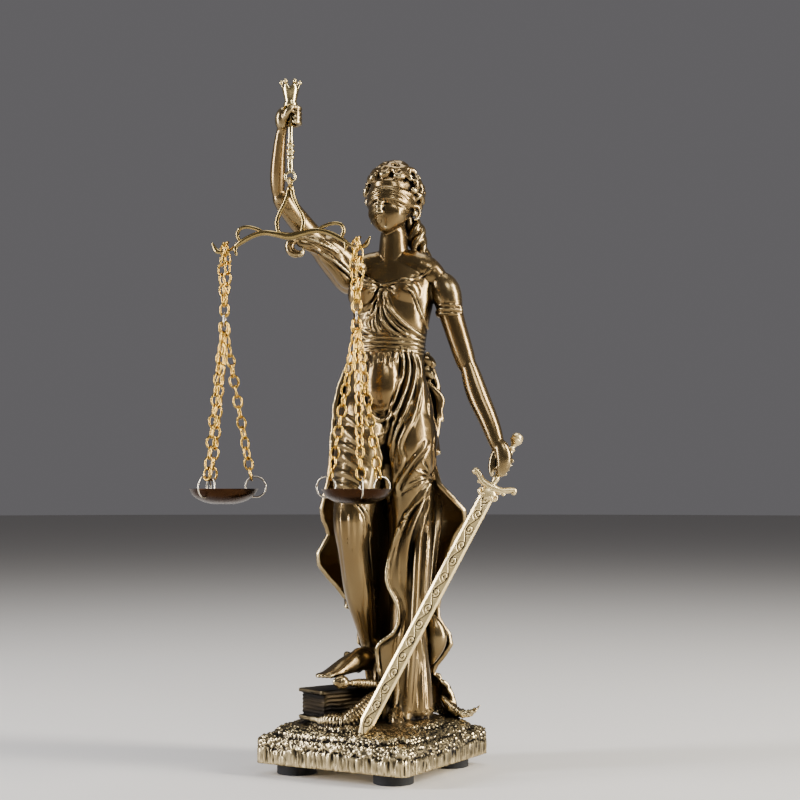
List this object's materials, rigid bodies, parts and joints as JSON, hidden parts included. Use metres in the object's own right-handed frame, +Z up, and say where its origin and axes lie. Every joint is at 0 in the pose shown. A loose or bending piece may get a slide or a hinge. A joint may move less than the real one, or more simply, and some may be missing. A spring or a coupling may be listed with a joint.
{
  "type": "lady justice statue",
  "caption": "Cast figurine of a blindfolded woman in draped dress on a rough square plinth, lifting hanging scales and resting a sword point on the plinth.",
  "frame": {"origin": "middle of the whole object's bounding box, on the surface the pads stand on", "axes": "+Z up; the plinth's front edge faces -Y and its right edge, as seen from the front, faces +X; she looks towards the front right corner's side, 30 degrees round from -Y"},
  "size_m": [0.1256, 0.1172, 0.3112],
  "materials": {
    "antique_bronze": "cast resin, cold-painted antique bronze with dark recesses and brighter ridges",
    "bright_gold": "bright pale gold, engraved blade",
    "pale_gold": "pale gold, worn",
    "gold_wire": "polished gold wire",
    "silver_wire": "polished silver wire",
    "dark_brown_metal": "dark brown patina, satin",
    "black_foam": "matt black foam"
  },
  "bodies": {
    "root": {"figure": "antique_bronze", "sword": "bright_gold", "scale_handle": "pale_gold", "scale_beam": "pale_gold", "chain_loop_left": "gold_wire", "chain_loop_right": "gold_wire", "jump_ring_left": "silver_wire", "jump_ring_right": "silver_wire", "pan_chain_left_a": "gold_wire", "pan_chain_left_b": "gold_wire", "pan_chain_left_c": "gold_wire", "pan_chain_right_a": "gold_wire", "pan_chain_right_b": "gold_wire", "pan_chain_right_c": "gold_wire", "pan_ring_left_a": "silver_wire", "pan_ring_left_b": "silver_wire", "pan_ring_left_c": "silver_wire", "pan_ring_right_a": "silver_wire", "pan_ring_right_b": "silver_wire", "pan_ring_right_c": "silver_wire", "pan_left": "dark_brown_metal", "pan_right": "dark_brown_metal", "pad_front_left": "black_foam", "pad_front_right": "black_foam", "pad_back_left": "black_foam", "pad_back_right": "black_foam"}
  },
  "joints": []
}
